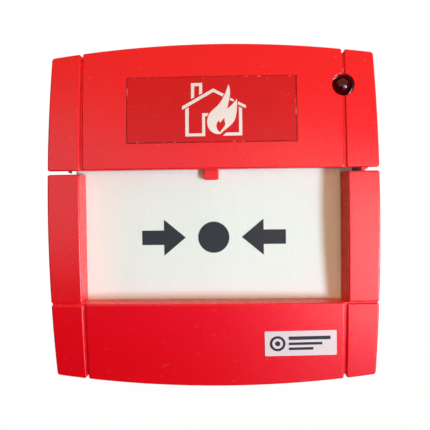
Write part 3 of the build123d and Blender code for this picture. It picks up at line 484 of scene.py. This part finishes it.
banded(
    "diode_black", base=(0.018, 0.018, 0.02), rough=0.3, axis=2,
    bands=[(28.0, 0.3, (0.72, 0.72, 0.70))])

# give the CAD's pieces their materials
slot_of = {part["node"]: part["material_slot"] for part in frame["record"]["subparts"]}
for node, piece in frame["nodes"].items():
    material = MATERIALS[slot_of[node]]
    if not piece.material_slots:
        piece.data.materials.append(material)
    for slot in piece.material_slots:
        slot.material = material


# --------------------------------------------------------------------- springs
PLATE_WIRE_RADIUS = 0.30 * MM
PLATE_COIL_RADIUS = 1.9 * MM
UPRIGHT_WIRE_RADIUS = 0.25 * MM
UPRIGHT_COIL_RADIUS = 1.25 * MM
WIRE_SIDES = 10
STEPS_PER_TURN = 28
END_CROWDING = 0.055  # how much closer the end turns lie than the middle ones

# springs wound down the Z axis: name, node, joint, turns, share of length kept at the limit
UPRIGHT_SPRINGS = [
    ("slide_return_spring", "test_slide_spring", "test_key_lift", 8, 0.655),
    ("latch_return_spring", "cover_latch_spring", "latch_lift", 7, 0.748),
]


def coil_vertices(base, axis, coil_radius, wire_radius, length, turns):
    """Rings of vertices around a helix that starts at base."""
    side = axis.orthogonal().normalized()
    other_side = axis.cross(side)
    steps = turns * STEPS_PER_TURN
    path = []
    for i in range(steps + 1):
        t = i / steps
        rise = t - END_CROWDING * math.sin(2 * math.pi * t)
        angle = 2 * math.pi * turns * t
        spoke = side * math.cos(angle) + other_side * math.sin(angle)
        path.append(base + axis * (length * rise) + spoke * coil_radius)
    vertices = []
    for i, point in enumerate(path):
        tangent = (path[min(i + 1, steps)] - path[max(i - 1, 0)]).normalized()
        outward = ((point - base) - axis * ((point - base).dot(axis))).normalized()
        across = tangent.cross(outward).normalized()
        for k in range(WIRE_SIDES):
            angle = 2 * math.pi * k / WIRE_SIDES
            offset = outward * math.cos(angle) + across * math.sin(angle)
            vertices.append(point + offset * wire_radius)
    return vertices


def coil_faces(start, steps):
    """Quads between the rings and a cap on each end; start is the first vertex."""
    faces = []
    for i in range(steps):
        ring = start + i * WIRE_SIDES
        for k in range(WIRE_SIDES):
            here = ring + k
            beside = ring + (k + 1) % WIRE_SIDES
            faces.append((here, beside, beside + WIRE_SIDES, here + WIRE_SIDES))
    faces.append(tuple(start + k for k in reversed(range(WIRE_SIDES))))
    faces.append(tuple(start + steps * WIRE_SIDES + k for k in range(WIRE_SIDES)))
    return faces


def wound_spring(name, node, axis,
                 bases, coil_radius, wire_radius, length, turns):
    """Round wire springs, one from each base point along axis."""
    vertices, faces = [], []
    for base in bases:
        faces += coil_faces(len(vertices), turns * STEPS_PER_TURN)
        vertices += coil_vertices(
            Vector(base), Vector(axis), coil_radius, wire_radius, length, turns)
    mesh = bpy.data.meshes.new(name)
    mesh.from_pydata(vertices, [], faces)
    bm = bmesh.new()
    bm.from_mesh(mesh)
    bmesh.ops.recalc_face_normals(bm, faces=bm.faces)
    bm.to_mesh(mesh)
    bm.free()
    for face in mesh.polygons:
        face.use_smooth = len(face.vertices) == 4
    mesh.materials.append(MATERIALS["spring_steel"])
    spring = bpy.data.objects.new(name, mesh)
    bpy.context.scene.collection.objects.link(spring)
    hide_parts(node)
    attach(spring, "frame")
    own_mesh(spring)


def plate_springs():
    """A left and a right spring, wound from the wall side towards the front."""
    low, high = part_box("element_springs")
    mid_z = (low[2] + high[2]) / 2
    coil_x = abs(low[0] + PLATE_COIL_RADIUS + PLATE_WIRE_RADIUS)
    wound_spring(
        "plate_return_springs", "element_springs",
        axis=(0, -1, 0),
        bases=[(x, high[1] - PLATE_WIRE_RADIUS, mid_z) for x in (-coil_x, coil_x)],
        coil_radius=PLATE_COIL_RADIUS, wire_radius=PLATE_WIRE_RADIUS,
        length=high[1] - low[1] - 2 * PLATE_WIRE_RADIUS, turns=7)


def upright_spring(name, node, joint, turns, keep):
    """A spring wound down from the top of the node's box."""
    low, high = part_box(node)
    mid_x, mid_y = (low[0] + high[0]) / 2, (low[1] + high[1]) / 2
    wound_spring(
        name, node, axis=(0, 0, -1),
        bases=[(mid_x, mid_y, high[2] - UPRIGHT_WIRE_RADIUS)],
        coil_radius=UPRIGHT_COIL_RADIUS, wire_radius=UPRIGHT_WIRE_RADIUS,
        length=high[2] - low[2] - 2 * UPRIGHT_WIRE_RADIUS, turns=turns)


plate_springs()
for row in UPRIGHT_SPRINGS:
    upright_spring(*row)


# ----------------------------------------------------------------------- floor
FLOOR_Z = -0.0468
FLOOR_RADIUS = 4.0
FLOOR_SIDES = 48


def stage_material():
    """Pale floor that stays almost white to the camera and shows only a faint
    shadow; other rays pass it, so that the room light alone shapes the sheen."""
    g = Graph("stage_pale")
    light_path = g.add("ShaderNodeLightPath")
    glow = g.add("ShaderNodeEmission")
    cloud = g.noise(scale=3.0, detail=3.0)
    g.put(glow.inputs["Color"], g.mix(cloud, (0.985, 0.985, 0.985), (1.0, 1.0, 1.0)))
    glow.inputs["Strength"].default_value = 0.985
    matt = g.add("ShaderNodeBsdfDiffuse")
    matt.inputs["Color"].default_value = (0.05, 0.05, 0.05, 1.0)
    both = g.add("ShaderNodeAddShader")
    g.put(both.inputs[0], glow.outputs[0])
    g.put(both.inputs[1], matt.outputs[0])
    clear = g.add("ShaderNodeBsdfTransparent")
    geometry = g.add("ShaderNodeNewGeometry")
    from_above = g.minus(1.0, geometry.outputs["Backfacing"])
    seen = g.times(light_path.outputs["Is Camera Ray"], from_above)
    g.surface(g.mix_shader(seen, clear.outputs[0], both.outputs[0]))
    return g.material


def stage_floor():
    """A disc of triangles around its centre."""
    vertices = [(0, 0, FLOOR_Z)]
    for i in range(FLOOR_SIDES):
        angle = 2 * math.pi * i / FLOOR_SIDES
        vertices.append((FLOOR_RADIUS * math.cos(angle), FLOOR_RADIUS * math.sin(angle), FLOOR_Z))
    faces = [(0, 1 + i, 1 + (i + 1) % FLOOR_SIDES) for i in range(FLOOR_SIDES)]
    mesh = bpy.data.meshes.new("stage_floor")
    mesh.from_pydata(vertices, [], faces)
    mesh.materials.append(stage_material())
    floor = bpy.data.objects.new("stage_floor", mesh)
    bpy.context.scene.collection.objects.link(floor)


stage_floor()


# ----------------------------------------------------------------------- world
def direction(azimuth, elevation):
    """Unit vector seen from the object, in radians: azimuth is right of the front."""
    return Vector((
        math.sin(azimuth) * math.cos(elevation),
        -math.cos(azimuth) * math.cos(elevation),
        math.sin(elevation),
    ))


class Sky(Nodes):
    """The world's node tree, in terms of the direction looked in. Angles are in degrees."""

    def __init__(self, world):
        super().__init__(world, "ShaderNodeOutputWorld", "Generated")
        _, self.y, self.z = self.axes()

    def smoothstep(self, value, low, high):
        node = self.add("ShaderNodeMapRange", interpolation_type="SMOOTHSTEP")
        self.put(node.inputs["Value"], value)
        node.inputs["From Min"].default_value = low
        node.inputs["From Max"].default_value = high
        return node.outputs["Result"]

    def patch(self, azimuth, elevation, inner, outer):
        """1 within inner degrees of a direction, fading smoothly to 0 at outer."""
        dot = self.add("ShaderNodeVectorMath", operation="DOT_PRODUCT")
        self.put(dot.inputs[0], self.coord)
        dot.inputs[1].default_value = direction(math.radians(azimuth), math.radians(elevation))
        low, high = math.cos(math.radians(outer)), math.cos(math.radians(inner))
        return self.smoothstep(dot.outputs["Value"], low, high)

    def above(self, low, high):
        """0 below elevation low, 1 above elevation high."""
        return self.smoothstep(self.z, math.sin(math.radians(low)), math.sin(math.radians(high)))

    def wall_side(self, low, high):
        """0 towards the front, 1 towards the wall, by the y part of the direction."""
        return self.smoothstep(self.y, low, high)

    def tinted(self, terms):
        """Sum of (mask, colour) terms."""
        total = None
        for mask, colour in terms:
            scaled = self.add("ShaderNodeVectorMath", operation="SCALE")
            scaled.inputs[0].default_value = colour
            self.put(scaled.inputs["Scale"], mask)
            if total is None:
                total = scaled.outputs[0]
            else:
                added = self.add("ShaderNodeVectorMath", operation="ADD")
                self.put(added.inputs[0], total)
                self.put(added.inputs[1], scaled.outputs[0])
                total = added.outputs[0]
        return total

    def background(self, colour, strength=1.0):
        node = self.add("ShaderNodeBackground")
        self.put(node.inputs["Color"], colour)
        node.inputs["Strength"].default_value = strength
        return node.outputs[0]


def mirrored_room(sky):
    """What glossy surfaces mirror: a window to the right that fades out just above eye
    level, paler patches in front, a warm ceiling and a dim wall side."""
    ceiling = sky.above(12, 24)
    over_window = sky.above(3, 12)
    below_edge = sky.minus(1.0, over_window)
    gap = sky.times(over_window, sky.minus(1.0, ceiling))
    # each patch: azimuth, elevation, inner and outer angle
    return sky.tinted([
        (ceiling, (2.82, 0.714, 0.39)),
        (sky.times(sky.patch(30, -8, 8, 28), below_edge), (10.5, 7.3, 6.93)),
        (sky.times(sky.patch(26, 8, 4, 20), gap), (0.20, 0.20, 0.20)),
        (sky.patch(4, 6, 3, 18), (2.39, 1.78, 1.91)),
        (sky.patch(-24, 4, 4, 23), (0.7, 2.20, 2.15)),
        (sky.patch(0, -16, 3, 16), (0.88, 0.08, 0.71)),
        (sky.patch(32, -30, 6, 30), (0.43, 1.21, 1.97)),
        (sky.wall_side(-0.40, 0.10), (0.35, 0.35, 0.35)),
    ])


def ambient_room(sky):
    """What lights the diffuse surfaces besides the lamps: a warm, mostly frontal room
    and cool daylight from the right."""
    # each patch: azimuth, elevation, inner and outer angle
    return sky.tinted([
        (sky.patch(34, 20, 5, 66), (0.460, 0.270, 0.150)),
        (sky.patch(20, 62, 5, 50), (0.26, 0.14, 0.12)),
        (sky.patch(75, 5, 5, 50), (0.80, 1.20, 1.44)),
        (sky.patch(-55, 5, 5, 50), (0.04, 0.04, 0.04)),
        (sky.patch(20, -55, 5, 50), (0.31, 0.17, 0.054)),
        (sky.wall_side(-0.05, 0.35), (0.50, 0.50, 0.50)),
        (sky.patch(-132, 25, 10, 62), (0.85, 0.83, 0.80)),
    ])


scene = bpy.context.scene
scene.world = bpy.data.worlds.new("room")
sky = Sky(scene.world)
mirrored = mirrored_room(sky)
ambient = ambient_room(sky)
ray = sky.add("ShaderNodeLightPath").outputs
white = sky.background((1, 1, 1, 1), strength=1.02)
unseen = sky.mix_shader(
    ray["Is Glossy Ray"], sky.background(ambient), sky.background(mirrored))
sky.surface(sky.mix_shader(ray["Is Camera Ray"], unseen, white))


# ---------------------------------------------------------------------- lights
LIGHT_TARGET = Vector((0, -0.02, 0))


def softbox(name, azimuth, elevation, distance, width, height, level):
    """Area light seen from the target at azimuth degrees right of the front.
    level: power in red, green and blue."""
    towards = direction(math.radians(azimuth), math.radians(elevation))
    light = bpy.data.lights.new(name, "AREA")
    light.shape = "RECTANGLE"
    light.size = width
    light.size_y = height
    light.energy = max(level)
    light.color = tuple(channel / max(level) for channel in level)
    lamp = bpy.data.objects.new(name, light)
    scene.collection.objects.link(lamp)
    lamp.location = LIGHT_TARGET + towards * distance
    lamp.rotation_euler = towards.to_track_quat("Z", "Y").to_euler()
    return lamp


softbox("window_light", azimuth=46, elevation=-12, distance=0.6, width=0.10, height=0.16,
        level=(2.18, 3.24, 3.71))
fill = softbox("room_light", azimuth=10, elevation=9, distance=0.32, width=0.05, height=0.08,
               level=(0.118, 0.118, 0.030))
fill.visible_glossy = False

# ---------------------------------------------------------------------- camera
CAMERA_AZIMUTH = 0.04505  # radians, as the next two
CAMERA_ELEVATION = 0.03125
CAMERA_ROLL = -0.01288
CAMERA_DISTANCE = 0.200
CAMERA_TARGET = Vector((0.00077, -0.0275, 0.00043))

back = direction(CAMERA_AZIMUTH, CAMERA_ELEVATION)
forward = -back
level_right = forward.cross(Vector((0, 0, 1))).normalized()
level_up = level_right.cross(forward)
right = level_right * math.cos(CAMERA_ROLL) + level_up * math.sin(CAMERA_ROLL)
up = -level_right * math.sin(CAMERA_ROLL) + level_up * math.cos(CAMERA_ROLL)
place = CAMERA_TARGET + back * CAMERA_DISTANCE

camera_data = bpy.data.cameras.new("camera")
camera_data.sensor_width = 36.0
camera_data.sensor_fit = "HORIZONTAL"
camera_data.lens = 63.1423256
camera_data.clip_start = 0.01
camera_data.clip_end = 20.0
camera = bpy.data.objects.new("camera", camera_data)
scene.collection.objects.link(camera)
camera.matrix_world = Matrix((
    (right.x, up.x, back.x, place.x),
    (right.y, up.y, back.y, place.y),
    (right.z, up.z, back.z, place.z),
    (0, 0, 0, 1),
))
scene.camera = camera
scene.view_settings.view_transform = "Standard"
scene.view_settings.look = "None"
scene.view_settings.exposure = 0.0
